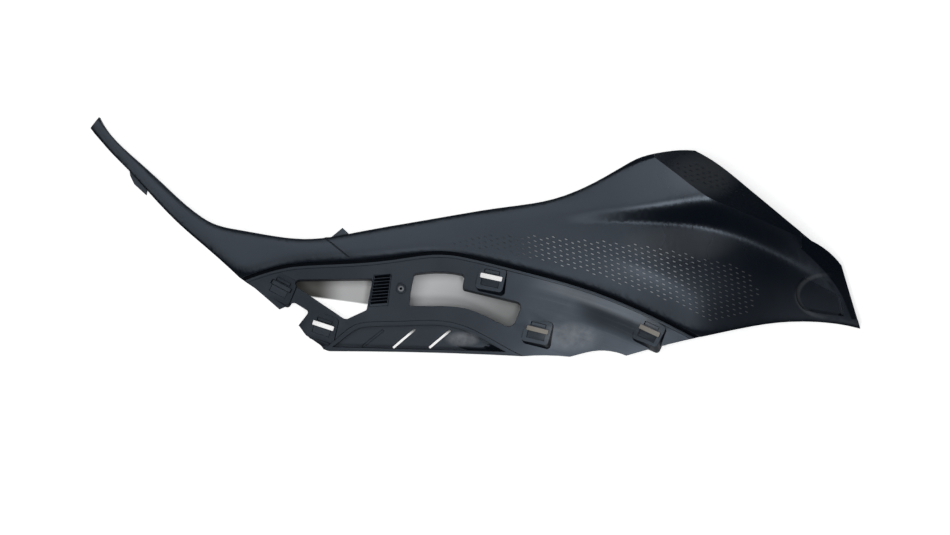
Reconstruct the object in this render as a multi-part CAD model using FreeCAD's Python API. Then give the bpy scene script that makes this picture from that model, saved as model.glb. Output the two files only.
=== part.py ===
"""Inner fairing panel of a motorbike, left side, as one moulding.

The panel lies on its back with its outer face up. X runs along it from the arm's tip to the rear end, Y
runs from the mounting flange to the hump, and Z is up from the surface that it lies on. All sizes are in
millimetres, and the origin is in the middle of the panel's footprint.
"""
import FreeCAD, Part
import math
import os

from FreeCAD import Vector

# Walls
WALL = 2.6                # thickness of the skin and of the returns at its edges
FLANGE_WALL = 2.8         # thickness of the mounting flange
ROLL_WIDTH = 9.0          # width of the rolled edge along the groove
ROLL_DROP = 2.0           # how far that edge rolls down
ROLL_SHARE = ((-360, 0.3), (-240, 0.3), (-205, 1), (360, 1))   # shares of that drop, less on the arm
EDGE_WIDTH = 5.0          # width of the softer roll along the upper edge
EDGE_DROP = 1.2
NARROW_ROLL = 0.4         # the rolls take no more than these shares of a narrow stretch
NARROW_EDGE = 0.25

# Groove between the trim and the flange, and the rib beside it
GROOVE_WIDTH = 2.8
GROOVE_DEPTH = 4.5
GROOVE_STEP = 6.0         # height of the trim's edge over the flange
GROOVE_FLOOR = 2.4        # thickness of material under the groove
RIB_WIDTH = 2.6
RIB_HEIGHT = 0.8
GROOVE_TRIM = 0.3         # how far the groove is cleaned into the trim's wall
BAR_SEAT = 0.6            # shares of that wall in which the bar and the flange end
FLANGE_SEAT = 0.4

# Returned edges of the windows
WINDOW_RIM = 2.0
WINDOW_RIM_DEPTH = 4.5
WINDOW_LEAN = 0.3         # lean of the windows' walls
FLANGE_PLANE = (0.2, 30.6)   # slope and level of the flange about the windows

# Line moulded across the skin between the arm and the trim
SEAM_WIDTH = 0.9
SEAM_DEPTH = 0.8

# Clip sockets
SOCKET_LENGTH = 26.0
SOCKET_WIDTH = 22.0
SOCKET_CORNER = 3.5
SOCKET_RISE = 2.2         # least height of a raised socket's block over the flange
FLUSH_RISE = 0.3          # and of one that lies nearly flush
SOCKET_DRAFT = 0.45       # lean of the block, so that its rear and lower walls slope
SLOT_LENGTH = 20.0
SLOT_WIDTH = 4.2
SLOT_CORNER = 0.8
SLOT_OFFSET = 1.5         # the slot lies this far above the middle of its block
RECESS_LENGTH = 14.0
RECESS_WIDTH = 3.2
RECESS_CORNER = 0.6
RECESS_DEPTH = 1.8
RAMP_LENGTH = 16.0
RAMP_WIDTH = 6.5
RAMP_FOOT = SLOT_OFFSET - SLOT_WIDTH / 2 - RAMP_WIDTH
RAMP_DEPTH = 1.4
RAMP_END = 0.4            # depth of the ramp at its shallow end
SOCKET_BACK = 3.0         # how far the block stands out behind the flange
BAR_GAP = 1.0             # bar left between the recess and the slot

# Locating peg
PEG_RADIUS = 2.75
PEG_BORE_RADIUS = 1.3
PEG_HEIGHT = 6.0
PEG_SEAT_RADIUS = 4.5
PEG_SEAT_RISE = 1.2
PEG_PLACE = (-67.5, -47.0)

# Grille
GRILLE_SLOTS = 9
GRILLE_PITCH = 2.95
GRILLE_LEAN = 0.5         # the slots lean, so that nothing is seen through them
GRILLE_START = 2.2        # from the upper edge of the grille to its first slot
GRILLE_SLOT_WIDTH = 2.0
GRILLE_RECESS = 0.9
GRILLE_RIM = 1.8          # width of material left round the slots
GRILLE_BLOCK = 6.0        # depth of the slats
GRILLE_SLOT_INSET = 1.0
GRILLE_RISE = 0.09        # how much a slot rises to the right, for each millimetre
GRILLE_CORNERS = ((-92.0, -34.5), (-76.0, -34.5), (-79.5, -62.5), (-96.5, -63.5))

# Scoop
SCOOP_WALL = 2.4
SCOOP_LIP_HEIGHT = 1.2    # how far its wall stands over the flange
SCOOP_FLOOR_HIGH = 5.0    # height of its floor at the upper and at the lower edge
SCOOP_FLOOR_LOW = 3.0
SCOOP_LIP_WIDTH = 4.2     # width of the raised band round the scoop
SCOOP_BULGE_PLACE = (-3.0, -94.5, 0.6)    # middle of the ball whose cap is the bulge on its floor
SCOOP_BULGE_SIZE = (26.0, 11.0, 4.4)      # half lengths of that ball
SCOOP_BULGE_TURN = -8.0
LOUVRE_WIDTH = 2.0
BLIND_LOUVRE_DEPTH = 1.2  # the first louvre is only sunk into the floor

# Tab behind the upper edge, and hook under the arm
LUG_WALL = 2.2
LUG_DROP = 3.0            # how far it lies under the edge

# Pocket in the rear end
POCKET_DEPTH = 5.0

# Heights of the skin over the floor, at places along the panel
LOWER_HEIGHT = ((-356, 15), (-280, 23), (-212, 30), (-100, 34), (0, 35), (100, 33), (200, 27), (280, 20),
                (356, 15))
UPPER_HEIGHT = ((-356, 15), (-280, 23), (-212, 31), (-130, 34), (-38, 34), (63, 31), (130, 24), (190, 17),
                (240, 18), (292, 19), (330, 16), (356, 14))
RETURN_HEIGHT = ((-360, 0), (-340, 0), (-212, 15), (-100, 18), (0, 17), (100, 9), (165, 0), (220, 0),
                 (290, 2), (340, 0), (360, 0))
BULGE_HEIGHT = ((-360, 0), (-200, 0), (-80, 1), (0, 3), (80, 8), (160, 13), (220, 13), (250, 10.5), (280, 6),
                (310, 2.5), (360, 0))
STEP_HEIGHT = ((-360, 0), (-40, 0), (40, 1), (80, 3), (113, 6), (160, 11.5), (190, 17), (215, 23), (245, 22),
               (283, 16), (320, 6), (360, 0))

# Foot and rim of the step between the bulge and the hump, as y at places along the panel
FOOT_LINE = ((-360, 0), (-40, 0), (40, 5), (113, 11), (158, 10.5), (204, 6.5), (230, 0), (258, -12),
             (294, -31), (330, -54), (360, -72))
RIM_LINE = ((-360, 30), (-40, 26), (40, 26), (113, 28), (160, 32), (190, 38), (215, 43), (240, 40), (262, 32),
            (285, 18), (310, -4), (360, -40))
STEP_LEAN = 0.8          # power that makes the step steeper at its foot than at its rim
RIM_SLOPE = 0.16          # rise of the hump over its rim, where the step is highest
STEP_FULL = 23.0          # height of the step there

# Facets that cut the hump and the rear corner off: a place and height on each, its slopes along X and Y,
# how much it is crowned at that distance, and the field that it covers
CAP_FACET = ((207, 40, 50), (-0.4, -0.6), (1.5, 50), ((150, 0), (320, 95)))
REAR_FACET = ((305, -4, 23), (-0.6, -0.255), (0.5, 30), ((295, -75), (360, 10)))
FACET_STEPS = 5
FACET_WALL = 3.2          # thickness of the skin under a facet, measured upright
BULGE_RUN = 46.0          # the bulge rises from the groove over this distance
FLANGE_SLOPE = 0.2        # fall of the flange away from the groove

# Outline of the skin, from the arm's tip round the upper edge. Each run is a curve through its points.
TIP = (-342, 109)
UPPER_EDGE = (TIP, (-338, 101.5), (-332, 93), (-315, 76), (-287, 51), (-270, 35), (-253, 21), (-239, 12.5),
              (-213, 6), (-180, 0.3), (-155, -2), (-134, -0.6), (-105, 4.6), (-38, 16.3), (24, 26.5),
              (70, 34), (95, 43), (130.5, 62), (148.5, 71.5), (166, 76), (184, 78.4), (199, 78.2))
CAP_EDGE = ((199, 78.2), (206, 74.5))
REAR_SLOPE = ((206, 74.5), (227, 60.7), (246, 45), (265, 29.3), (285, 12.6), (305, -3.5))
REAR_STEP = ((305, -3.5), (328, -20), (333, -26))
REAR_EDGE = ((333, -26), (340, -50), (350, -83.5))
BOTTOM_EDGE = ((350, -83.5), (328, -79), (300, -77), (274, -78), (247, -82), (204, -91))
GROOVE_LINE = ((204, -91), (175, -76), (150, -64), (124, -53), (99, -44), (73, -36.4), (33, -26),
               (-4, -17), (-20, -14), (-38, -13.3), (-68, -17), (-105, -21), (-148, -23), (-170, -25),
               (-197, -32), (-213, -38))
ARM_EDGE = ((-213, -38), (-229, -23), (-245, -9), (-261.5, 5), (-278, 20.5), (-298, 42), (-316.5, 62),
            (-329.5, 75), (-342, 89), (-346.3, 94), (-350, 99))
TIP_EDGE = ((-350, 99), TIP)
SKIN_OUTLINE = (UPPER_EDGE, CAP_EDGE, REAR_SLOPE, REAR_STEP, REAR_EDGE, BOTTOM_EDGE, GROOVE_LINE, ARM_EDGE,
                TIP_EDGE)

# Lower outline of the mounting flange, left to right
FLANGE_EDGE = (((-213, -38), (-199.9, -46.9)), ((-199.9, -46.9), (-191, -54.6)), ((-191, -54.6), (-178, -66)),
               ((-178, -66), (-167.5, -61)), ((-167.5, -61), (-164.7, -60.1), (-162, -61.2)),
               ((-162, -61.2), (-154, -66.2)), ((-154, -66.2), (-152.4, -67.8), (-152.8, -70.2)),
               ((-152.8, -70.2), (-161, -80.5)), ((-161, -80.5), (-140.5, -99.1)),
               ((-140.5, -99.1), (-136, -103), (-130, -104)),
               ((-130, -104), (-50, -105), (43, -108.5)),
               ((43, -108.5), (73, -108), (86, -109)),
               ((86, -109), (101, -105), (111, -103.4), (121.5, -103.7), (137, -108)),
               ((137, -108), (162, -101), (204, -91)))

WINDOW_FRONT = (((-159, -38.4), (-94.5, -37.9)), ((-94.5, -37.9), (-93.7, -38.6), (-93.9, -40.5)),
                ((-93.9, -40.5), (-98.6, -64.6)), ((-98.6, -64.6), (-99.1, -66), (-100.5, -66.9)),
                ((-100.5, -66.9), (-113.8, -73)), ((-113.8, -73), (-118, -74.2), (-121.5, -72.6)),
                ((-121.5, -72.6), (-162, -45)),
                ((-162, -45), (-163.6, -42.5), (-162.3, -39.6), (-159, -38.4)))
WINDOW_REAR = (((-53, -32.8), (-40, -31.5), (-23.4, -31.8), (-13.5, -33.6)),
               ((-13.5, -33.6), (-10.9, -34.8), (-10.3, -37)), ((-10.3, -37), (-11.6, -44)),
               ((-11.6, -44), (-11, -46.6), (-8.6, -47.8)), ((-8.6, -47.8), (35.8, -59.1)),
               ((35.8, -59.1), (40.3, -61.4), (40.9, -66)), ((40.9, -66), (35.5, -78.6)),
               ((35.5, -78.6), (32, -81.4), (27, -81.3)),
               ((27, -81.3), (9.9, -72.6), (-4.9, -66.1), (-19.7, -63.1), (-38.2, -62.4), (-58, -62.4)),
               ((-58, -62.4), (-59.7, -61.9), (-60, -60.4)), ((-60, -60.4), (-58.6, -48), (-55.9, -35.2)),
               ((-55.9, -35.2), (-55, -33.5), (-53, -32.8)))

# Clip sockets: place, turn, how far the block's top is tipped and leaned, in degrees, how far it rises over
# the flange, and whether the slot is open
SOCKETS = (((-177.0, -46.0), -28.0, -11.0, 0.0, FLUSH_RISE, False),
           ((-139.0, -82.0), -18.0, -11.0, 0.0, FLUSH_RISE, True),
           ((14.0, -38.0), -12.0, 2.0, 4.0, SOCKET_RISE, True),
           ((56.0, -86.0), -14.0, 2.0, 6.0, SOCKET_RISE, True),
           ((157.5, -86.5), -25.0, 4.0, 6.0, SOCKET_RISE, True))

SCOOP_TOP = ((-130, -100), (-123, -95), (-105, -83), (-96, -81.6), (-68, -81), (-28, -81), (-9, -86),
             (13, -97), (27, -104.4))
SCOOP_HIGH = -81.0        # where its floor is high and where it is low
SCOOP_LOW = -102.0
LOUVRES = (((-84, -85), (-103, -100)), ((-55, -84), (-75, -101)), ((-23, -85), (-42, -101)))

SEAM_ENDS = ((-136.0, -1.2), (-114.5, -18.5))
TAB = ((-134, -3), (-120.5, 8.3), (-114, 2))
ARM_HOOK = ((-314.5, 61.5), (-313.7, 55.5), (-310, 47.8), (-298.8, 37.5), (-298, 41.5), (-301, 47))

POCKET = (((301, -67), (294.5, -62), (291, -50), (293, -43), (299, -37)),
          ((299, -37), (314, -45), (331, -54)), ((331, -54), (335, -72)),
          ((335, -72), (322, -70.5), (301, -67)))

# Places at which the skin is measured across, from its lower to its upper edge
SECTIONS = (((-355, 107), (-347, 117)), ((-350, 99), (-342, 109)), ((-329.5, 75), (-320, 83)),
            ((-316.5, 62), (-305, 69.5)), ((-298, 42), (-287, 51)), ((-278, 20.5), (-266, 31.5)),
            ((-261.5, 5), (-251, 20)), ((-245, -9), (-239, 12.5)), ((-229, -23), (-227, 8.5)),
            ((-217, -34), (-217, 6.5)), ((-205, -35), (-205, 4.5)), ((-190, -30.5), (-190, 2)),
            ((-170, -25), (-170, -1)), ((-148, -23), (-150, -2)), ((-128, -22.3), (-130, 0.3)),
            ((-105, -21), (-105, 4.6)), ((-68, -17), (-69, 11.4)), ((-38, -13.3), (-42, 15.7)),
            ((-4, -17), (-7, 22)), ((33, -26), (27, 27)), ((73, -36.4), (68, 33.7)), ((99, -44), (97, 44)),
            ((124, -53), (124, 58.5)), ((150, -64), (150, 72)), ((175, -76), (174, 77.5)),
            ((200, -89), (199, 78.2)), ((224, -86.5), (221, 64.7)), ((250, -81.5), (243, 47.5)),
            ((276, -78), (268, 27)), ((303, -77), (291, 7.5)), ((326, -79), (310, -7)),
            ((342, -81.7), (326, -20)), ((360, -85), (342, -30)))
ROWS_BELOW_STEP, ROWS_ON_STEP, ROWS_ABOVE_STEP = 4, 5, 3
FOOT_SHARES = (0.35, 0.65)   # the rows at the foot and the rim keep within these shares of the stretch
RIM_SHARES = (0.75, 0.88)
EDGE_STEEPNESS = 0.9      # slope at which the sheet is carried past its edges

# Corners and spacing of the places at which the flange is measured
FLANGE_FIELD = ((-222, -118), (208, -6))
FLANGE_STEPS = (43, 14)
RETURN_STEPS = 37         # straight stretches in the lower edge of the returns

FAR = 400.0               # longer than anything that a tool has to pass through
CLOSE = 0.001
CLEAR = 20.0              # taller than any feature
MARGIN = 6.0              # how far a sheet is carried past the edge that trims it


def along(x, stations):
    """Smooth height or place at x, through the stations."""
    xs = [s[0] for s in stations]
    ys = [s[1] for s in stations]
    if x <= xs[0]:
        return float(ys[0])
    if x >= xs[-1]:
        return float(ys[-1])
    slopes = []
    for i in range(len(xs)):
        a, b = max(i - 1, 0), min(i + 1, len(xs) - 1)
        slopes.append((ys[b] - ys[a]) / (xs[b] - xs[a]))
    i = max(k for k in range(len(xs) - 1) if xs[k] <= x)
    h = xs[i + 1] - xs[i]
    t = (x - xs[i]) / h
    return ((1 + 2 * t) * (1 - t) ** 2 * ys[i] + t * (1 - t) ** 2 * h * slopes[i]
            + t * t * (3 - 2 * t) * ys[i + 1] + t * t * (t - 1) * h * slopes[i + 1])


def smooth(t):
    """Soft step from 0 to 1."""
    t = min(max(t, 0.0), 1.0)
    return t * t * (3 - 2 * t)


def distance(x, y, line):
    """Distance from a place to a line through points."""
    best = FAR
    for (ax, ay), (bx, by) in zip(line, line[1:]):
        dx, dy = bx - ax, by - ay
        t = min(max(((x - ax) * dx + (y - ay) * dy) / (dx * dx + dy * dy), 0), 1)
        best = min(best, math.hypot(x - ax - t * dx, y - ay - t * dy))
    return best


def skin_height(x, y, below, above):
    """Height of the skin at a place that is so far from its lower and its upper edge."""
    share = min(max(below / max(below + above, 1.0), 0.0), 1.0)
    z = along(x, LOWER_HEIGHT) * (1 - share) + along(x, UPPER_HEIGHT) * share
    z += along(x, BULGE_HEIGHT) * smooth(below / BULGE_RUN)
    foot, rim, step = along(x, FOOT_LINE), along(x, RIM_LINE), along(x, STEP_HEIGHT)
    climbed = max((y - foot) / (rim - foot), 0) ** STEP_LEAN
    z += step * smooth(climbed) + RIM_SLOPE * max(y - rim, 0) * step / STEP_FULL
    z -= along(x, ROLL_SHARE) * ROLL_DROP * (1 - min(below, ROLL_WIDTH) / ROLL_WIDTH) ** 2
    z -= EDGE_DROP * (1 - min(above, EDGE_WIDTH) / EDGE_WIDTH) ** 2
    return z


def flange_height(x, y):
    """Height of the mounting flange, which falls away from the groove."""
    return along(x, LOWER_HEIGHT) - ROLL_DROP - GROOVE_STEP - FLANGE_SLOPE * distance(x, y, GROOVE_LINE)


def curve(points):
    """Edge through plan points: a line through two, a smooth curve through more."""
    places = [Vector(*p, 0) for p in points]
    if len(places) == 2:
        return Part.LineSegment(*places).toShape()
    spline = Part.BSplineCurve()
    spline.interpolate(places)
    return spline.toShape()


def prism(runs, low=-FAR, high=FAR):
    """Upright solid over a closed outline."""
    face = Part.Face(Part.Wire([curve(run) for run in runs]))
    face.translate(Vector(0, 0, low))
    return face.extrude(Vector(0, 0, high - low))


def closed(points):
    """Straight runs round the points."""
    points = list(points)
    return tuple(zip(points, points[1:] + points[:1]))


def stripe(ends, width):
    """Closed outline of a straight stripe between two places."""
    (ax, ay), (bx, by) = ends
    dx, dy = unit(*ends)
    wide = width / 2
    return closed(((ax - dy * wide, ay + dx * wide), (ax + dy * wide, ay - dx * wide),
                   (bx + dy * wide, by - dx * wide), (bx - dy * wide, by + dx * wide)))


def shifted(runs, inward):
    """Closed outline drawn again this far inside, clockwise runs taken as they are."""
    moved = []
    for i, run in enumerate(runs):
        before, after = runs[i - 1], runs[(i + 1) % len(runs)]
        line = [before[-2]] + list(run) + [after[1]]
        moved.append([corner(*line[k - 1:k + 2], inward) for k in range(1, len(line) - 1)])
    return moved


def corner(a, b, c, inward):
    """Point b moved to the inside of the bend a, b, c of a clockwise outline."""
    first, second = unit(a, b), unit(b, c)
    bend = 1 + first[0] * second[0] + first[1] * second[1]
    return (b[0] + inward * (first[1] + second[1]) / bend, b[1] - inward * (first[0] + second[0]) / bend)


def unit(a, b):
    length = math.hypot(b[0] - a[0], b[1] - a[1])
    return ((b[0] - a[0]) / length, (b[1] - a[1]) / length)


def sheet(rows):
    """Smooth face drawn over rows of control points."""
    def knots(count):
        inner = count - 4
        return list(range(inner + 2)), [4] + [1] * inner + [4]

    u_knots, u_mults = knots(len(rows))
    v_knots, v_mults = knots(len(rows[0]))
    surface = Part.BSplineSurface()
    surface.buildFromPolesMultsKnots(rows, u_mults, v_mults, u_knots, v_knots, False, False, 3, 3)
    return surface.toShape()


def crossing(low, high, line):
    """Distance along a section at which it passes over a line along the panel."""
    near, far = 0.0, math.hypot(high[0] - low[0], high[1] - low[1])
    dx, dy = unit(low, high)
    while far - near > CLOSE:
        middle = (near + far) / 2
        if low[1] + dy * middle < along(low[0] + dx * middle, line):
            near = middle
        else:
            far = middle
    return near


def kept(mark, start, end, shares):
    """The mark, held within two shares of the way from start to end."""
    return min(max(mark, start + (end - start) * shares[0]), start + (end - start) * shares[1])


def between(start, end, count):
    """Marks that part the way from start to end, the last one at its end."""
    return [start + (end - start) * k / count for k in range(1, count + 1)]


def skin_sheet():
    """Face of the skin's outer side, carried past its outline."""
    rows = []
    for low, high in SECTIONS:
        run = math.hypot(high[0] - low[0], high[1] - low[1])
        dx, dy = unit(low, high)
        start, end = min(ROLL_WIDTH, run * NARROW_ROLL), run - min(EDGE_WIDTH, run * NARROW_EDGE)
        foot = kept(crossing(low, high, FOOT_LINE), start, end, FOOT_SHARES)
        rim = kept(crossing(low, high, RIM_LINE), start, end, RIM_SHARES)
        marks = [-MARGIN, 0, start / 3, start * 2 / 3, start]
        marks += between(start, foot, ROWS_BELOW_STEP) + between(foot, rim, ROWS_ON_STEP)
        marks += between(rim, end, ROWS_ABOVE_STEP) + [(end + run) / 2, run, run + MARGIN]
        rows.append([])
        for mark in marks:
            x, y = low[0] + dx * mark, low[1] + dy * mark
            z = skin_height(x, y, max(mark, 0), max(run - mark, 0))
            z -= EDGE_STEEPNESS * (max(-mark, 0) + max(mark - run, 0))
            rows[-1].append(Vector(x, y, z))
    return sheet(rows)


def flange_sheet():
    """Face of the mounting flange's outer side, carried past its outline."""
    (west, south), (east, north) = FLANGE_FIELD
    columns, lines = FLANGE_STEPS
    xs = [west + (east - west) * k / columns for k in range(columns + 1)]
    ys = [south + (north - south) * k / lines for k in range(lines + 1)]
    return sheet([[Vector(x, y, flange_height(x, y)) for y in ys] for x in xs])


def slab(face, top, depth):
    """Solid under a face that is first raised by the height given."""
    raised = face.copy()
    raised.translate(Vector(0, 0, top))
    return raised.extrude(Vector(0, 0, -depth))


def under_returns():
    """Solid under the level at which the returns end."""
    ends = (RETURN_HEIGHT[0][0], RETURN_HEIGHT[-1][0])
    xs = [ends[0] + (ends[1] - ends[0]) * k / RETURN_STEPS for k in range(RETURN_STEPS + 1)]
    places = [Vector(x, -FAR, max(along(x, RETURN_HEIGHT), 0)) for x in xs]
    places += [Vector(ends[1], -FAR, -CLEAR), Vector(ends[0], -FAR, -CLEAR)]
    return Part.Face(Part.makePolygon(places + places[:1])).extrude(Vector(0, 2 * FAR, 0))


def over_facet(origin, slopes, crown, field, lowered=0.0):
    """Solid over a gently crowned facet, wider than its field by as much as it is lowered."""
    (west, south), (east, north) = field
    west, south, east, north = west - lowered, south - lowered, east + lowered, north + lowered
    rise, reach = crown
    rows = []
    for i in range(FACET_STEPS):
        x = west + (east - west) * i / (FACET_STEPS - 1)
        rows.append([])
        for j in range(FACET_STEPS):
            y = south + (north - south) * j / (FACET_STEPS - 1)
            z = origin[2] + slopes[0] * (x - origin[0]) + slopes[1] * (y - origin[1]) + rise
            z -= rise * ((x - origin[0]) ** 2 + (y - origin[1]) ** 2) / reach ** 2 + lowered
            rows[-1].append(Vector(x, y, z))
    return sheet(rows).extrude(Vector(0, 0, FAR))


def skin(face):
    """Skin of the arm and the trim, with the returns round its edges."""
    outer = prism(SKIN_OUTLINE).common(slab(face, 0, FAR)).cut(under_returns())
    hollow = prism(shifted(SKIN_OUTLINE, WALL)).common(slab(face, -WALL, FAR))
    facets = (CAP_FACET, REAR_FACET)
    outer = outer.cut([over_facet(*facet) for facet in facets])
    hollow = hollow.cut([over_facet(*facet, lowered=FACET_WALL) for facet in facets])
    return outer.cut(hollow)


def beside(line, inward, reach=0.0):
    """Line drawn again to one side, and carried on past both ends."""
    first, last = unit(line[1], line[0]), unit(line[-2], line[-1])
    start = (line[0][0] + first[0] * reach, line[0][1] + first[1] * reach)
    end = (line[-1][0] + last[0] * reach, line[-1][1] + last[1] * reach)
    points = [start] + list(line[1:-1]) + [end]
    before = (2 * start[0] - points[1][0], 2 * start[1] - points[1][1])
    after = (2 * end[0] - points[-2][0], 2 * end[1] - points[-2][1])
    padded = [before] + points + [after]
    return [corner(*padded[k - 1:k + 2], inward) for k in range(1, len(padded) - 1)]


def band(line, inner, outer, reach=0.0):
    """Closed outline of a strip between two distances from a line."""
    near, far = beside(line, inner, reach), beside(line, outer, reach)[::-1]
    return (near, (near[-1], far[0]), far, (far[-1], near[0]))


def groove_bar(face):
    """Bar under the groove and the rib, which ties the flange to the skin."""
    outline = band(GROOVE_LINE, BAR_SEAT * WALL, -GROOVE_WIDTH - RIB_WIDTH)
    bar = prism(outline).common(slab(face, RIB_HEIGHT, RIB_HEIGHT + GROOVE_DEPTH + GROOVE_FLOOR))
    return bar.common(prism(flange_outline(WALL)))


def groove(face):
    """Space of the groove, open at both ends."""
    outline = band(GROOVE_LINE, GROOVE_TRIM, -GROOVE_WIDTH, MARGIN)
    return prism(outline).common(slab(face, CLEAR, CLEAR + GROOVE_DEPTH))


def flange_outline(seat):
    """Closed outline of the flange, whose upper edge lies this far inside the trim."""
    upper = beside(GROOVE_LINE, seat)
    start, end = FLANGE_EDGE[0][0], FLANGE_EDGE[-1][-1]
    lower = tuple(run[::-1] for run in FLANGE_EDGE[::-1])
    return (upper[::-1], (upper[0], end)) + lower + ((start, upper[-1]),)


def flange(face):
    """Plate of the mounting flange."""
    return prism(flange_outline(FLANGE_SEAT * WALL)).common(slab(face, 0, FLANGE_WALL))


def leaning(shape, lean):
    """Upright cutter, leant so that its outline stays as it is where it passes through the flange."""
    slope, level = FLANGE_PLANE
    across = (0, 1 - lean * slope, lean, -lean * level)
    return shape.transformGeometry(FreeCAD.Matrix(1, 0, 0, 0, *across, 0, 0, 1, 0))


def window_rim(window, face):
    """Returned edge round a window, behind the flange."""
    return prism(shifted(window, -WINDOW_RIM)).common(slab(face, -FLANGE_WALL / 2, WINDOW_RIM_DEPTH))


def grille(face):
    """Block of the grille, and the spaces to cut from it."""
    outer = shifted(closed(GRILLE_CORNERS), -GRILLE_RIM)
    block = prism(outer).common(slab(face, -FLANGE_WALL / 2, GRILLE_BLOCK))
    cuts = [prism(closed(GRILLE_CORNERS)).common(slab(face, CLEAR, CLEAR + GRILLE_RECESS))]
    (left, top), (right, _), (low_right, bottom), (low_left, _) = GRILLE_CORNERS
    for k in range(GRILLE_SLOTS):
        y = top - GRILLE_START - GRILLE_PITCH * k
        share = (top - y) / (top - bottom)
        x0 = left + (low_left - left) * share + GRILLE_SLOT_INSET
        x1 = right + (low_right - right) * share - GRILLE_SLOT_INSET
        rise = GRILLE_RISE * (x1 - x0)
        high = y + GRILLE_SLOT_WIDTH
        slot = prism(closed(((x0, y), (x0, high), (x1, high + rise), (x1, y + rise))))
        cuts.append(leaning(slot, GRILLE_LEAN))
    return block, cuts[0].multiFuse(cuts[1:])


def peg():
    """Hollow locating peg on a low flat seat, and the peg's bore."""
    x, y = PEG_PLACE
    surface = flange_height(x, y)
    foot = surface - FLANGE_WALL / 2
    seat_top = surface + PEG_SEAT_RISE
    seat = Part.makeCylinder(PEG_SEAT_RADIUS, seat_top - foot, Vector(x, y, foot))
    post = Part.makeCylinder(PEG_RADIUS, seat_top + PEG_HEIGHT - foot, Vector(x, y, foot))
    bore = Part.makeCylinder(PEG_BORE_RADIUS, PEG_HEIGHT + PEG_SEAT_RISE, Vector(x, y, surface))
    return seat.fuse(post), bore


def rounded_block(length, width, radius, low, high):
    """Upright block with round corners, about the Z axis."""
    box = Part.makeBox(length, width, high - low, Vector(-length / 2, -width / 2, low))
    upright = [edge for edge in box.Edges if abs(edge.tangentAt(edge.FirstParameter).z) > 0.9]
    return box.makeFillet(radius, upright)


def socket(place, turn, tip, lean, top, is_open):
    """Block of a clip socket, and the spaces to cut from it."""
    block = rounded_block(SOCKET_LENGTH, SOCKET_WIDTH, SOCKET_CORNER, -FLANGE_WALL - SOCKET_BACK, CLEAR)
    slot_foot = -CLEAR if is_open else -FLANGE_WALL
    slot = rounded_block(SLOT_LENGTH, SLOT_WIDTH, SLOT_CORNER, slot_foot, CLEAR)
    slot.translate(Vector(0, SLOT_OFFSET, 0))
    recess = rounded_block(RECESS_LENGTH, RECESS_WIDTH, RECESS_CORNER, top - RECESS_DEPTH, CLEAR)
    recess.translate(Vector(0, SLOT_OFFSET + SLOT_WIDTH / 2 + BAR_GAP + RECESS_WIDTH / 2, 0))
    west, north, south = -RAMP_LENGTH / 2, SLOT_OFFSET - SLOT_WIDTH / 2 + BAR_GAP, RAMP_FOOT
    profile = [Vector(west, north, top - RAMP_DEPTH), Vector(west, north, CLEAR),
               Vector(west, south, CLEAR), Vector(west, south, top - RAMP_END)]
    ramp = Part.Face(Part.makePolygon(profile + profile[:1])).extrude(Vector(RAMP_LENGTH, 0, 0))
    lid = Part.makeBox(FAR, FAR, FAR, Vector(-FAR / 2, -FAR / 2, top))
    tipped = FreeCAD.Rotation(Vector(1, 0, 0), -tip) * FreeCAD.Rotation(Vector(0, 1, 0), -lean)
    for tool in (recess, ramp, lid):
        tool.Placement = FreeCAD.Placement(Vector(), tipped).multiply(tool.Placement)
    shift = SOCKET_DRAFT * top
    draft = FreeCAD.Matrix(1, 0, -SOCKET_DRAFT, shift, 0, 1, SOCKET_DRAFT, -shift, 0, 0, 1, 0)
    block = block.transformGeometry(draft).cut(lid)
    spaces = slot.multiFuse([recess, ramp])
    seat = FreeCAD.Placement(Vector(*place, flange_height(*place)), FreeCAD.Rotation(Vector(0, 0, 1), turn))
    for shape in (block, spaces):
        shape.Placement = seat.multiply(shape.Placement)
    return block, spaces


def scoop(face):
    """Tray of the air scoop, and the space inside it."""
    inner = (SCOOP_TOP, (SCOOP_TOP[-1], SCOOP_TOP[0]))
    floor = Part.makePlane(2 * FAR, 2 * FAR, Vector(-FAR, -FAR, 0))
    slope = (SCOOP_FLOOR_HIGH - SCOOP_FLOOR_LOW) / (SCOOP_HIGH - SCOOP_LOW)
    floor.rotate(Vector(0, SCOOP_LOW, 0), Vector(1, 0, 0), math.degrees(math.atan(slope)))
    floor.translate(Vector(0, 0, SCOOP_FLOOR_LOW))
    ground = Part.makeBox(2 * FAR, 2 * FAR, FAR, Vector(-FAR, -FAR, 0))
    tray = prism(shifted(inner, -SCOOP_WALL)).common(slab(face, SCOOP_LIP_HEIGHT, FAR))
    tray = tray.common(slab(floor, CLEAR, CLEAR + SCOOP_WALL)).common(ground)
    lip = prism(shifted(inner, -SCOOP_LIP_WIDTH)).common(slab(face, SCOOP_LIP_HEIGHT, FLANGE_WALL))
    spaces = [prism(inner).common(slab(floor, CLEAR, CLEAR))]
    for k, ends in enumerate(LOUVRES):
        depth = CLEAR if k else BLIND_LOUVRE_DEPTH
        spaces.append(prism(stripe(ends, LOUVRE_WIDTH)).common(slab(floor, MARGIN, MARGIN + depth)))
    body = tray.fuse(lip).common(prism(flange_outline(WALL)))
    return body, spaces[0].cut(scoop_bulge()).multiFuse(spaces[1:])


def scoop_bulge():
    """Low bulge on the scoop's floor."""
    x, y, z = SCOOP_BULGE_PLACE
    length, width, height = SCOOP_BULGE_SIZE
    size = FreeCAD.Matrix(length, 0, 0, 0, 0, width, 0, 0, 0, 0, height, 0)
    bulge = Part.makeSphere(1).transformGeometry(size)
    bulge.Placement = FreeCAD.Placement(Vector(x, y, z), FreeCAD.Rotation(Vector(0, 0, 1), SCOOP_BULGE_TURN))
    return bulge


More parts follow.
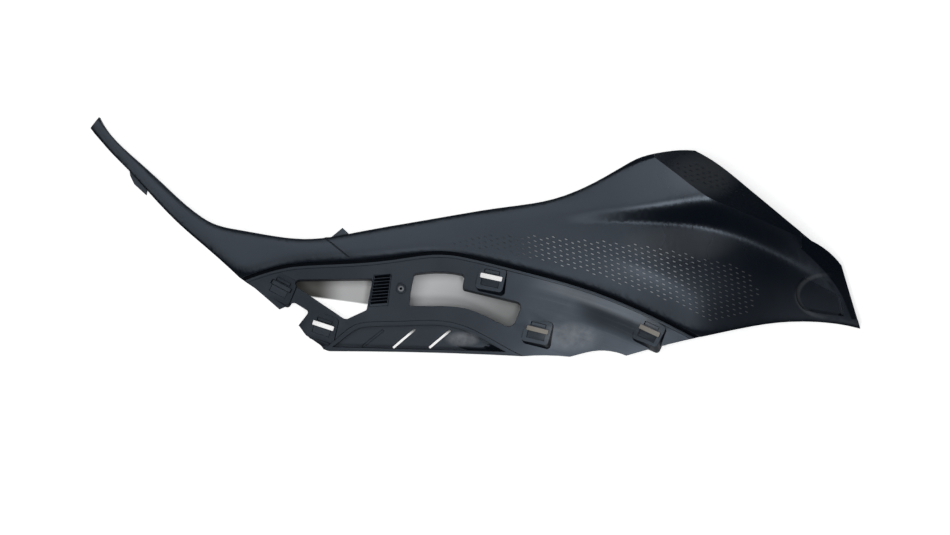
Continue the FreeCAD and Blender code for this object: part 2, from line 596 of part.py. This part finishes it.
def pocket(face):
    """Walls and floor of the pocket in the rear end, and the space inside it."""
    body = prism(shifted(POCKET, -WALL)).common(slab(face, -WALL / 2, POCKET_DEPTH + WALL / 2))
    space = prism(POCKET).common(slab(face, MARGIN, MARGIN + POCKET_DEPTH))
    return body, space


def seam(face):
    """Line between the arm and the trim, which stops short of the groove."""
    return prism(stripe(SEAM_ENDS, SEAM_WIDTH)).common(slab(face, MARGIN, MARGIN + SEAM_DEPTH))


def lug(points):
    """Flat lug that stands out from the return of an edge."""
    top = max(skin_height(x, y, 0, 0) for x, y in points) - LUG_DROP
    return prism(closed(points), top - LUG_WALL, top)


def panel():
    """The whole moulding: all that stands out is joined to the skin, then all that is open is cut."""
    skin_face, flange_face = skin_sheet(), flange_sheet()
    added = [groove_bar(flange_face), flange(flange_face), lug(TAB), lug(ARM_HOOK)]
    opened = [groove(flange_face), seam(skin_face)]
    features = [grille(flange_face), peg(), scoop(flange_face), pocket(skin_face)]
    features += [socket(*values) for values in SOCKETS]
    for window in (WINDOW_FRONT, WINDOW_REAR):
        features.append((window_rim(window, flange_face), leaning(prism(window), WINDOW_LEAN)))
    for block, space in features:
        added.append(block)
        opened.append(space)
    return skin(skin_face).multiFuse(added).cut(opened).Solids[0]


os.makedirs("parts", exist_ok=True)
panel().exportStep("parts/inner_fairing_panel.step")
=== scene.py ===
from math import cos, pi, radians, sin

import bmesh
import bpy
from mathutils import Matrix, Vector
from mathutils.bvhtree import BVHTree


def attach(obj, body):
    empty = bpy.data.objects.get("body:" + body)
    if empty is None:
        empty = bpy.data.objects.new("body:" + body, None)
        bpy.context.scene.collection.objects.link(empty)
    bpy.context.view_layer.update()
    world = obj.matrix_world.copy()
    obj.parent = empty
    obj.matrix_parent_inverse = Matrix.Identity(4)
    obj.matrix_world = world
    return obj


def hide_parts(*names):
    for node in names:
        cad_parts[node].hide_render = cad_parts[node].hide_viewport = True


MM = 0.001
PANEL = "inner_fairing_panel"

# Picture: its width on the ground, the place under its middle, and the camera's height over the panel
PHOTO_WIDTH = 861.6 * MM
VIEW_CENTRE = Vector((-0.4, -27.8, 25)) * MM
CAMERA_DISTANCE = 5.0
SENSOR = 36.0

# Moulding
JOIN_DISTANCE = 0.002 * MM
EDGE_ANGLE = radians(28)
EDGE_BREAK = 0.3 * MM

# Colours of the plastic
BLACK = (0.003, 0.0055, 0.01)
# Painted shade: a darker black for the faces in hollows
HOLLOW_SHADE_BLACK = (0.0015, 0.003, 0.006)                 # in the hollows
# Pale of the flow marks and the peg's end, and of the painted sheen and highlights
PALE_MARKS_AND_SHEEN = (0.36, 0.37, 0.38)                     # of its marks
BLUISH = (0.72, 0.84, 1.0)                    # of its shine
CLOUD_DARKENS = 0.7
CLOUDS_TO_A_METRE = 14.0
BLOTCHES_TO_A_METRE = 120.0

# Finishes: roughness and how much it wanders, the grain's size and depth in millimetres, and the shine
SKIN_FINISH = (0.38, 0.1, 0.6, 0.015, 0.5)
FLANGE_FINISH = (0.32, 0.2, 1.2, 0.008, 0.5)
# The hollows' copy, darker and duller, is painted shade
HOLLOW_SHADE_FINISH = (0.6, 0.1, 0.6, 0.015, 0.12)
DASH_FINISH = (0.32, 0.1, 1.2, 0.004, 0.5)

# Even shading of the open skin
EVEN_SPAN = 5 * MM                            # how far round a vertex the heights are taken
EVEN_LIFT = 10 * MM                           # how far over and under it they are looked for
EVEN_BEND = 0.9 * MM                          # bend of the skin over the span that leaves none of it
EVEN_TURN = radians(14)                       # turn of the shading that leaves none of it
FACING_UP = 0.4                               # least upright share of the direction of open skin

# Hollows, as they are looked for from each face
CLEAR_OF_FACE = 0.05 * MM
LOOK_UP = 60 * MM
LOOK_ROUND = 9 * MM
LOOK_TURNS = [k * pi / 4 for k in range(8)]
WALLS_CLOSE = 5                               # walls on so many sides make a hollow

# Line between the grained skin and the satin flange, along the panel in millimetres
GROOVE_LINE = ((-350, 99), (-316, 62), (-278, 20), (-245, -9), (-213, -38), (-197, -32), (-170, -25),
               (-148, -23), (-105, -21), (-68, -17), (-38, -13.3), (-20, -14), (-4, -17), (33, -26),
               (73, -36.4), (99, -44), (124, -53), (150, -64), (175, -76), (204, -91), (350, -120))

# Dashes on the trim, in millimetres
DASH_STEPS = (Vector((0.41, -4.54)), Vector((5.53, 1.22)))    # from one dash to its neighbours
DASH_ORIGIN = Vector((179.3, -17.9))
DASH_SIZE = Vector((1.7, 0.4, 0.6))
DASH_TOP = 0.85                               # size of its top, as a share of its foot
DASH_LEAN = 0.05
DASH_TURN = radians(-24)
DASH_RANGE = 90                               # dashes that are tried each way from the origin
DASH_SPAN = 3.0                               # how far round a dash the skin's heights are taken
BULGE_FIELD = (((-23, -6), (-15, -5), (9, 1.5), (39.5, 1.5), (71, 0), (113, -3), (148, -7), (185, -14),
                (211, -20), (233, -24), (249, -32), (256, -46)),
               ((-23, -7), (24, -13), (71, -25), (113, -36), (148, -49), (185, -62), (202, -70), (213, -76),
                (240, -73), (256, -60)))
CAP_FIELD = (((176, 66), (199, 68), (222, 57), (255, 33)),
             ((176, 66), (190, 52), (214, 43), (238, 38), (255, 33)))

# Marks on the surfaces, and the spots of painted sheen and highlight: places and reaches along and across the
# panel, in metres
FLOW_CURVE = (-0.0203, -0.137, -1.033)        # how the flow marks bend with the groove
FLOW_STRETCH = (14, 240)                      # waves to a metre along and across the flow
FLANGE_SHEEN = ((0.087, -0.091), (0.032, 0.016))
SCOOP_HIGHLIGHT = ((-0.012, -0.093), (0.018, 0.008))
PEG_END = ((-0.0675, -0.047), (0.0034, 0.0034))
POCKET_LIP = ((0.3185, -0.0535), (0.026, 0.019))
RIDGE_SHEEN = ((0.185, -0.006), (0.06, 0.02))
CAP_SHEEN = ((0.205, 0.056), (0.04, 0.026))

# Where the marks, the painted sheen and the painted light on the dashes rise and where they fall, along and
# across the panel or under the groove
FLOW_REACH = ((0.04, 0.08), (0.18, 0.15))
STRIP_DEPTH = ((0.004, 0.008), (0.019, 0.013))
SHADED_REACH = ((0.085, 0.115), (0.165, 0.14))
SHADED_DEPTH = ((0.013, 0.019), (0.04, 0.024))
LIP_WIDTH = ((0.75, 0.95), (1.3, 1.05))       # as shares of the lip's oval
LIP_END = (0.326, 0.304)
MATT_FRONT = (0.07, -0.04)
FINER_REAR = (0.1, 0.18)
FINER_TOP = (-0.055, -0.02)
DASHES_FRONT, DASHES_TOP = (0.03, 0.07), (0.012, 0.006)
DASHES_REAR, DASHES_LOW = (0.165, 0.225), (0.012, -0.014)
DASHES_FALL = 0.4                             # fall of the field's lower side along the panel

# How pale the marks are, and the painted sheen and highlights
FLANGE_SHEEN_PALE = 0.6
SCOOP_HIGHLIGHT_MORE = 1.6
STRIP_SHEEN_PALE = 0.22
FLOW_PALE = 0.1
PEG_PALE = 1.6
LIP_HIGHLIGHT_PALE = 0.12
RIDGE_PALE = 0.08
CAP_PALE = 0.09
DASHES_REAR_DARKER, DASHES_LOW_DARKER = 0.75, 0.5

# What the places add to the roughness
FRONT_MATT = 0.16
SHADED_MATT = 0.2
FINER_MATT = -0.12
UNLIT_MATT = 0.2

# Boxes of the paper with painted shadow where it is seen, as low and high corners
FRONT_WINDOW = ((-0.172, -0.09), (-0.082, -0.022))
REAR_WINDOW = ((-0.072, -0.09), (0.052, -0.022))
UPPER_SOCKET = ((-0.012, -0.05), (0.06, -0.02))
LOWER_SOCKET = ((0.042, -0.1), (0.076, -0.075))
REAR_SOCKET = ((0.14, -0.1), (0.175, -0.076))
WINDOW_SHADE_EDGE, WINDOW_SHADE_SLOPE = (-0.0755, -0.0735), 0.134

# Tones of the paper, white and with painted shadow: at two places along or across each window, and in the
# slots
WHITE = (0.9, 0.9, 0.9)
FRONT_SHADOW_TONES = ((0.7, 0.7, 0.7), (0.12, 0.12, 0.11))
FRONT_DARKENS = (-0.118, -0.145)
REAR_SHADOW_TONES = ((0.8, 0.81, 0.82), (0.34, 0.35, 0.35))
REAR_DARKENS, REAR_DARKENS_SLOPE = (0.01, 0.09), 0.6
SLOT_SHADOW_TONE = (0.4, 0.37, 0.33)
PAPER_GLOW = (0.7, 0.7, 0.7)
SLOT_SHADOW_GLOW = (0.16, 0.15, 0.136)
FLOOR_SIZE = 6.0

# Soft lamps: place, aim, size and power. The world adds a little bluish light.
LAMPS = (("overhead softbox", (-0.42, 0.1, 1.5), (-0.42, 0.1, 0), (1.5, 0.9), 10.5),
         ("front softbox", (0.11, -0.7, 1.3), (0.09, -0.09, 0), (0.25, 0.35), 3.6),
         ("rear softbox", (0.37, 1.3, 0.55), (0.2, 0.05, 0), (0.7, 0.5), 3.1))
WORLD_LIGHT = {"Color": (0.7, 0.85, 1, 1), "Strength": 0.05}


class Socket:
    """A shader socket whose arithmetic adds Math nodes."""

    def __init__(self, tree, socket):
        self.tree, self.socket = tree, socket

    def maths(self, operation, first, second):
        return self.tree.node("ShaderNodeMath", dict(operation=operation), {0: first, 1: second})[0]

    def __add__(self, other):
        return self.maths("ADD", self, other)

    def __sub__(self, other):
        return self.maths("SUBTRACT", self, other)

    def __rsub__(self, other):
        return self.maths("SUBTRACT", other, self)

    def __mul__(self, other):
        return self.maths("MULTIPLY", self, other)

    __radd__, __rmul__ = __add__, __mul__


class Tree:
    """Nodes of one material or world."""

    def __init__(self, owner):
        owner.use_nodes = True
        self.tree = owner.node_tree
        self.tree.nodes.clear()

    def node(self, kind, settings=None, values=None):
        """Adds a node, makes its settings, then its sockets' values or links, and gives its outputs."""
        made = self.tree.nodes.new(kind)
        for name, value in (settings or {}).items():
            setattr(made, name, value)
        for name, value in (values or {}).items():
            if isinstance(value, Socket):
                self.tree.links.new(value.socket, made.inputs[name])
            else:
                made.inputs[name].default_value = value
        return [Socket(self, out) for out in made.outputs if out.enabled]

    def place(self):
        return self.node("ShaderNodeTexCoord")[3]

    def noise(self, scale, detail=2.0, roughness=0.5):
        values = {"Vector": self.place(), "Scale": scale, "Detail": detail, "Roughness": roughness}
        return self.node("ShaderNodeTexNoise", None, values)[0]

    def ramp(self, value, start, end):
        """Rises smoothly from 0 at the start to 1 at the end."""
        values = {"Value": value, "From Min": start, "From Max": end}
        return self.node("ShaderNodeMapRange", dict(interpolation_type="SMOOTHSTEP"), values)[0]

    def band(self, value, rise, fall):
        """Rises over the first range and falls over the second."""
        return self.ramp(value, *rise) * self.ramp(value, *fall)

    def ground(self):
        """Places along and across the panel."""
        return self.node("ShaderNodeSeparateXYZ", None, {"Vector": self.place()})[:2]

    def patch(self, low, high, soft):
        """1 over a box on the ground, falling to 0 just inside its sides."""
        along, across = [self.band(value, (start, start + soft), (end, end - soft))
                         for value, start, end in zip(self.ground(), low, high)]
        return along * across

    def off(self, middle, reach):
        """0 at a place on the ground, rising to 1 on the oval at its reach along and across."""
        x, y = [(value - place) * (1 / length)
                for value, place, length in zip(self.ground(), middle, reach)]
        return x * x + y * y

    def spot(self, middle, reach):
        """1 at a place on the ground, falling to 0 at its reach along and across."""
        return self.ramp(self.off(middle, reach), 1.0, 0.0)

    def mix(self, share, first, second):
        """First colour where the share is 0, second where it is 1."""
        ends = {"Factor": share}
        for name, colour in (("A", first), ("B", second)):
            ends[name] = colour if isinstance(colour, Socket) else (*colour, 1.0)
        return self.node("ShaderNodeMix", dict(data_type="RGBA"), ends)[0]


def black_plastic(name, base, finish, marks=None):
    """Black moulded plastic: its colour, its finish, and what gives its pale places (marks, painted sheen and
    painted highlights) and its matt places.
    """
    roughness, cloud_depth, grain_size, grain_depth, gloss = finish
    material = bpy.data.materials.new(name)
    tree = Tree(material)
    cloud = tree.noise(CLOUDS_TO_A_METRE, 3.0)
    grain = tree.noise(1 / (grain_size * MM), 2.0)
    colour = tree.mix(cloud, tuple(c * CLOUD_DARKENS for c in base), base)
    rough = roughness + (cloud - 0.5) * cloud_depth
    if marks:
        pale, matt = marks(tree)
        colour, rough = tree.mix(pale, colour, PALE_MARKS_AND_SHEEN), rough + matt
    relief = {"Strength": 1.0, "Distance": grain_depth * MM, "Height": grain}
    bump = tree.node("ShaderNodeBump", None, relief)[0]
    shade = tree.node("ShaderNodeBsdfPrincipled", None, {
        "Base Color": colour, "Roughness": rough, "Specular IOR Level": gloss,
        "Specular Tint": (*BLUISH, 1.0), "Normal": bump})[0]
    tree.node("ShaderNodeOutputMaterial", None, {"Surface": shade})
    return material


def flange_marks_and_sheen(tree):
    """Flow marks, painted sheen and a pale strip of painted sheen under the groove on the flange, a painted
    highlight in the scoop, the peg's pale end, and where the flange is matter.
    """
    along, across = tree.ground()
    level, slope, bend = FLOW_CURVE
    under = level + along * slope + along * along * bend - across
    rear = tree.band(along, *FLOW_REACH)
    stretched = {"X": along * FLOW_STRETCH[0], "Y": under * FLOW_STRETCH[1]}
    flow = tree.node("ShaderNodeCombineXYZ", None, stretched)[0]
    lines = tree.node("ShaderNodeTexNoise", None, {"Vector": flow, "Scale": 1.0, "Detail": 3.0})[0]
    cloudy = tree.noise(BLOTCHES_TO_A_METRE, 3.0)
    # Painted sheen on the flange and a painted highlight on the bulge in the scoop
    sheen_spots = tree.spot(*FLANGE_SHEEN) + tree.spot(*SCOOP_HIGHLIGHT) * SCOOP_HIGHLIGHT_MORE
    # A strip of painted sheen under the groove, on the rear half
    sheen_strip = tree.band(under, *STRIP_DEPTH) * rear
    pale = sheen_spots * cloudy * FLANGE_SHEEN_PALE + sheen_strip * STRIP_SHEEN_PALE + tree.ramp(lines, 0.45, 0.8) * rear * FLOW_PALE
    peg = tree.spot(*PEG_END) * cloudy * PEG_PALE
    shaded = tree.band(under, *SHADED_DEPTH) * tree.band(along, *SHADED_REACH)
    return pale + peg, tree.ramp(along, *MATT_FRONT) * FRONT_MATT + shaded * SHADED_MATT


def skin_painted_sheen(tree):
    """Painted highlight on the pocket's lip, painted sheen on the ridge and the cap, and a smoother grain
    towards the rear.
    """
    along, across = tree.ground()
    # Painted highlight on the pocket's lip
    lip = tree.band(tree.off(*POCKET_LIP), *LIP_WIDTH) * tree.ramp(along, *LIP_END)
    # Painted sheen on the ridge and the cap
    sheen = tree.spot(*RIDGE_SHEEN) * RIDGE_PALE + tree.spot(*CAP_SHEEN) * CAP_PALE
    finer = tree.ramp(along, *FINER_REAR) * tree.ramp(across, *FINER_TOP)
    return lip * LIP_HIGHLIGHT_PALE + sheen, finer * FINER_MATT


def dash_painted_light(tree):
    """The dashes are painted pale where they catch the light on the bulge, and stay dark at its front and on
    the cap.
    """
    along, across = tree.ground()
    lit = tree.ramp(along, *DASHES_FRONT) * tree.ramp(across, *DASHES_TOP)
    rear, low = tree.ramp(along, *DASHES_REAR), tree.ramp(along * DASHES_FALL + across, *DASHES_LOW)
    lit = lit * (1 - rear * DASHES_REAR_DARKER) * (1 - low * DASHES_LOW_DARKER)
    return lit, (1 - lit) * UNLIT_MATT


def over_line(x, y, line):
    """Whether a place lies over a line that runs along the panel."""
    for (ax, ay), (bx, by) in zip(line, line[1:]):
        if ax <= x <= bx:
            return y > ay + (by - ay) * (x - ax) / (bx - ax)
    return False


def dash_places():
    """Places of the dashes in millimetres."""
    places = []
    for i in range(-DASH_RANGE, DASH_RANGE):
        for j in range(-DASH_RANGE, DASH_RANGE):
            place = DASH_ORIGIN + DASH_STEPS[0] * i + DASH_STEPS[1] * j
            for top, bottom in (BULGE_FIELD, CAP_FIELD):
                inside = top[0][0] < place.x < top[-1][0]
                if inside and over_line(*place, bottom) and not over_line(*place, top):
                    places.append(place)
    return places


def dash():
    """One dash: a small lozenge whose top leans to the flange."""
    made = bmesh.new()
    bmesh.ops.create_cone(made, cap_ends=True, segments=10, radius1=1.0, radius2=DASH_TOP, depth=1.0)
    mesh = bpy.data.meshes.new("dash")
    made.to_mesh(mesh)
    made.free()
    length, width, height = DASH_SIZE * MM
    mesh.transform(Matrix(((length, 0, 0), (0, width, 0), (0, width * DASH_LEAN, height))).to_4x4())
    return mesh


def upright_on(skin, place):
    """Place and turn of a thing that stands on the skin, from the heights a few millimetres around it."""
    def point(dx, dy):
        start = Vector(((place.x + dx) * MM, (place.y + dy) * MM, 1))
        return skin.ray_cast(start, Vector((0, 0, -1)))[0]

    along = (point(DASH_SPAN, 0) - point(-DASH_SPAN, 0)).normalized()
    up = along.cross(point(0, DASH_SPAN) - point(0, -DASH_SPAN)).normalized()
    turn = Matrix((along, up.cross(along), up)).transposed().to_4x4()
    return Matrix.Translation(point(0, 0)) @ turn


def dashes(skin):
    """The dashes that stand on the skin, as one piece."""
    made = bmesh.new()
    one = dash()
    for place in dash_places():
        laid = one.copy()
        laid.transform(upright_on(skin, place) @ Matrix.Rotation(DASH_TURN, 4, "Z"))
        made.from_mesh(laid)
        bpy.data.meshes.remove(laid)
    bpy.data.meshes.remove(one)
    for face in made.faces:
        face.smooth = False
    piece("trim_dashes", made, [black_plastic("dash with painted light", BLACK, DASH_FINISH, dash_painted_light)])


def piece(name, made, materials):
    """Makes a piece of the panel from a finished mesh."""
    mesh = bpy.data.meshes.new(name)
    made.to_mesh(mesh)
    made.free()
    for material in materials:
        mesh.materials.append(material)
    body = bpy.data.objects.new(name, mesh)
    bpy.context.scene.collection.objects.link(body)
    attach(body, "root")
    return body


def hollow(skin, place, normal):
    """Whether a place is open to the sky, but walls stand close on most sides of it."""
    start = place + normal * CLEAR_OF_FACE
    if skin.ray_cast(start, Vector((0, 0, 1)), LOOK_UP)[0] is not None:
        return False
    ways = [Vector((cos(turn), sin(turn), 1)) for turn in LOOK_TURNS]
    return sum(skin.ray_cast(start, way, LOOK_ROUND)[0] is not None for way in ways) >= WALLS_CLOSE


def even_normal(skin, vertex):
    """Direction of a vertex's shading: from the heights around it on open skin, else from its faces."""
    own = sum((face.normal * face.calc_area() for face in vertex.link_faces), Vector()).normalized()
    ring = []
    for turn in LOOK_TURNS:
        start = vertex.co + Vector((cos(turn) * EVEN_SPAN, sin(turn) * EVEN_SPAN, EVEN_LIFT))
        ring.append(skin.ray_cast(start, Vector((0, 0, -1)), 2 * EVEN_LIFT)[0])
    if own.z < FACING_UP or None in ring:
        return own
    half = len(ring) // 2
    bend = max(abs((a.z + b.z) / 2 - vertex.co.z) for a, b in zip(ring[:half], ring[half:]))
    spokes = [height - vertex.co for height in ring]
    even = sum((a.cross(b) for a, b in zip(spokes, spokes[1:] + spokes[:1])), Vector())
    unlike = max(bend / EVEN_BEND, even.angle(own) / EVEN_TURN)
    return own.lerp(even.normalized(), max(0.0, 1 - unlike ** 2)).normalized()


def moulding():
    """The moulding with its mesh joined and its sharp edges broken."""
    made = bmesh.new()
    made.from_mesh(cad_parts[PANEL].data)
    bmesh.ops.remove_doubles(made, verts=made.verts, dist=JOIN_DISTANCE)
    bmesh.ops.dissolve_degenerate(made, dist=JOIN_DISTANCE, edges=made.edges)
    sharp = [edge for edge in made.edges if edge.calc_face_angle(0) > EDGE_ANGLE]
    bmesh.ops.bevel(made, geom=sharp, offset=EDGE_BREAK, affect="EDGES", segments=2, profile=0.5, material=-1)
    for vertex in made.verts:
        vertex.co.z = max(vertex.co.z, 0.0)
    made.normal_update()
    skin = BVHTree.FromBMesh(made)
    normals = [even_normal(skin, vertex) for vertex in made.verts]
    for face in made.faces:
        middle = face.calc_center_median()
        face.smooth = True
        face.material_index = 0 if over_line(middle.x / MM, middle.y / MM, GROOVE_LINE) else 1
        # Faces in hollows take the copy of the plastic with painted shade
        if hollow(skin, middle, face.normal):
            face.material_index = 2
    dashes(skin)
    finishes = [black_plastic("grained skin", BLACK, SKIN_FINISH, skin_painted_sheen),
                black_plastic("satin flange", BLACK, FLANGE_FINISH, flange_marks_and_sheen),
                black_plastic("hollow painted in shade", HOLLOW_SHADE_BLACK, HOLLOW_SHADE_FINISH)]
    body = piece("panel_moulding", made, finishes)
    body.data.normals_split_custom_set_from_vertices(normals)
    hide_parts(PANEL)


def lamp(name, place, aim, size, power):
    """Rectangular soft lamp."""
    light = bpy.data.lights.new(name, "AREA")
    light.shape, light.size, light.size_y, light.energy = "RECTANGLE", *size, power
    holder = bpy.data.objects.new(name, light)
    bpy.context.scene.collection.objects.link(holder)
    holder.location = place
    holder.rotation_euler = (Vector(aim) - Vector(place)).to_track_quat("-Z", "Y").to_euler()


def studio():
    """Lamps and world."""
    for each in LAMPS:
        lamp(*each)
    world = bpy.data.worlds.new("studio")
    bpy.context.scene.world = world
    tree = Tree(world)
    glow = tree.node("ShaderNodeBackground", None, WORLD_LIGHT)[0]
    tree.node("ShaderNodeOutputWorld", None, {"Surface": glow})


def floor():
    """White paper under the panel, with painted shadow where it is seen through the windows and the slots."""
    made = bmesh.new()
    bmesh.ops.create_grid(made, x_segments=1, y_segments=1, size=FLOOR_SIZE)
    mesh = bpy.data.meshes.new("studio floor")
    made.to_mesh(mesh)
    made.free()
    material = bpy.data.materials.new("white paper")
    tree = Tree(material)
    along, across = tree.ground()
    slots = tree.patch(*LOWER_SOCKET, 0.002) + tree.patch(*REAR_SOCKET, 0.003)
    front = tree.ramp(across + along * WINDOW_SHADE_SLOPE, *WINDOW_SHADE_EDGE)
    front = tree.patch(*FRONT_WINDOW, 0.008) * front
    rear = tree.patch(*REAR_WINDOW, 0.006) * (1 - tree.patch(*UPPER_SOCKET, 0.004)) * (1 - slots)
    front_shadow_tone = tree.mix(tree.ramp(along, *FRONT_DARKENS), *FRONT_SHADOW_TONES)
    rear_shadow_tone = tree.mix(tree.ramp(along * REAR_DARKENS_SLOPE - across, *REAR_DARKENS), *REAR_SHADOW_TONES)
    colour = tree.mix(slots, tree.mix(rear, tree.mix(front, WHITE, front_shadow_tone), rear_shadow_tone), SLOT_SHADOW_TONE)
    seen = tree.node("ShaderNodeLightPath")[0]
    # Where the shadow is painted the paper's glow is taken out, and the slots glow less
    glow = tree.mix(seen * (1 - front - rear - slots), (0, 0, 0), PAPER_GLOW)
    glow = tree.mix(slots * seen, glow, SLOT_SHADOW_GLOW)
    paper = tree.node("ShaderNodeBsdfPrincipled", None, {
        "Base Color": colour, "Roughness": 0.9, "Emission Color": glow, "Emission Strength": 1.0})[0]
    tree.node("ShaderNodeOutputMaterial", None, {"Surface": paper})
    mesh.materials.append(material)
    sheet = bpy.data.objects.new("studio_floor", mesh)
    bpy.context.scene.collection.objects.link(sheet)


def camera():
    """Camera straight over the panel, as the photograph was taken."""
    eye = bpy.data.objects.new("camera", bpy.data.cameras.new("camera"))
    bpy.context.scene.collection.objects.link(eye)
    bpy.context.scene.camera = eye
    eye.data.sensor_width = SENSOR
    eye.data.lens = SENSOR * CAMERA_DISTANCE / PHOTO_WIDTH
    eye.data.clip_end = 50
    eye.location = VIEW_CENTRE + Vector((0, 0, CAMERA_DISTANCE))


def write_size():
    """Brings the scene up to date, so the object's box is current."""
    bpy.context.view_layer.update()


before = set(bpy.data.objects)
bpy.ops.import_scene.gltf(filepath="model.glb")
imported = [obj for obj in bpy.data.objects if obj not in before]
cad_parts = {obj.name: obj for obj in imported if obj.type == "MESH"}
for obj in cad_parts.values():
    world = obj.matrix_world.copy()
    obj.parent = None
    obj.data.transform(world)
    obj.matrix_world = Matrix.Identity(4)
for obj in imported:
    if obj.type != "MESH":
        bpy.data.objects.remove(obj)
write_size()
moulding()
studio()
floor()
camera()
bpy.context.scene.view_settings.view_transform = "Standard"
write_size()
